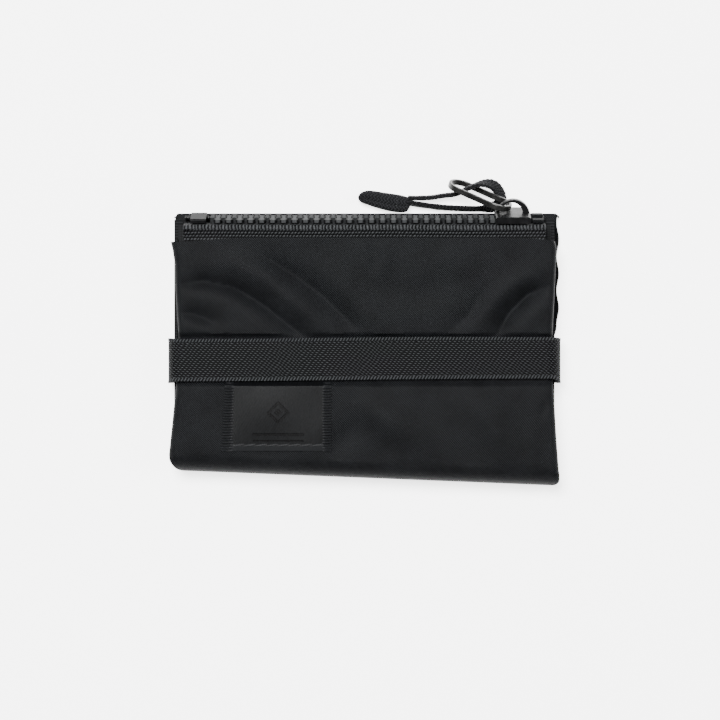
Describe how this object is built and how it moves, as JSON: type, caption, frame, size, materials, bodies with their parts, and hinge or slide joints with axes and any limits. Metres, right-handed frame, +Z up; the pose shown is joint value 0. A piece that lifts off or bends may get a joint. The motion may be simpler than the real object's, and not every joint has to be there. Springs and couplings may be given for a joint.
{
  "type": "zippered pouch",
  "caption": "Flat folded zippered pouch with note and card pockets, an elastic band round both leaves and a ringed lace pull.",
  "frame": {"origin": "on the outer face of the band's back run, in the plane the pouch lies on, midway between the side edges", "axes": "+X along the zip towards the closed slider, +Y from the fold to the zip, +Z up through both leaves"},
  "size_m": [0.1154, 0.088, 0.0139],
  "materials": {
    "shell_cloth": "black nylon satin twill",
    "lining_cloth": "thin black polyester lining",
    "grosgrain": "black grosgrain ribbon",
    "elastic": "black woven elastic webbing",
    "label_satin": "black woven label satin",
    "thread": "black bonded polyester thread",
    "zip_tape": "black woven zip tape",
    "zip_plastic": "black moulded acetal",
    "stop_plastic": "dark grey moulded acetal",
    "slider_metal": "black enamelled zinc casting",
    "ring_metal": "black nickel plated steel strip",
    "lace": "black flat woven lace"
  },
  "bodies": {
    "rear_leaf": {"shell_back": "shell_cloth", "shell_fold": "shell_cloth", "back_lining": "lining_cloth", "card_pocket_upper": "lining_cloth", "card_pocket_lower": "lining_cloth", "side_binding_left": "grosgrain", "side_binding_right": "grosgrain", "lining_top_binding": "grosgrain", "elastic_band": "elastic"},
    "front_leaf": {"shell_front": "shell_cloth", "pocket_back": "lining_cloth", "pocket_binding_left": "grosgrain", "pocket_binding_right": "grosgrain", "zip_tape_front": "zip_tape", "zip_tape_rear": "zip_tape", "teeth_front": "zip_plastic", "teeth_rear": "zip_plastic", "bottom_stop": "stop_plastic", "top_stops": "zip_plastic", "label": "label_satin", "label_stitches": "thread"},
    "slider": {"slider_body": "slider_metal", "slider_bridge": "slider_metal"},
    "ring": {"pull_ring": "ring_metal"},
    "lace_pull": {"pull_cord": "lace", "pull_tab": "lace", "tab_stitches": "thread"}
  },
  "joints": [
    {"name": "leaf_fold", "type": "hinge", "parent": "rear_leaf", "child": "front_leaf", "pos_m": [0, -0.035, 0.0062], "axis": [1, 0, 0], "range_deg": [0, 180], "deforming": ["shell_fold", "elastic_band"]},
    {"name": "zip_slide", "type": "slide", "parent": "front_leaf", "child": "slider", "axis": [-1, 0, 0], "range_m": [0, 0.0846], "deforming": ["teeth_front", "teeth_rear", "zip_tape_front", "zip_tape_rear"]},
    {"name": "ring_swing", "type": "hinge", "parent": "slider", "child": "ring", "pos_m": [0.04235, 0.04001, 0.01024], "axis": [0, 0.4067, -0.9135], "range_deg": [0, 130]},
    {"name": "lace_swing", "type": "hinge", "parent": "ring", "child": "lace_pull", "pos_m": [0.0345, 0.0452, 0.003], "axis": [0, 1, 0], "range_deg": [0, 20]}
  ]
}
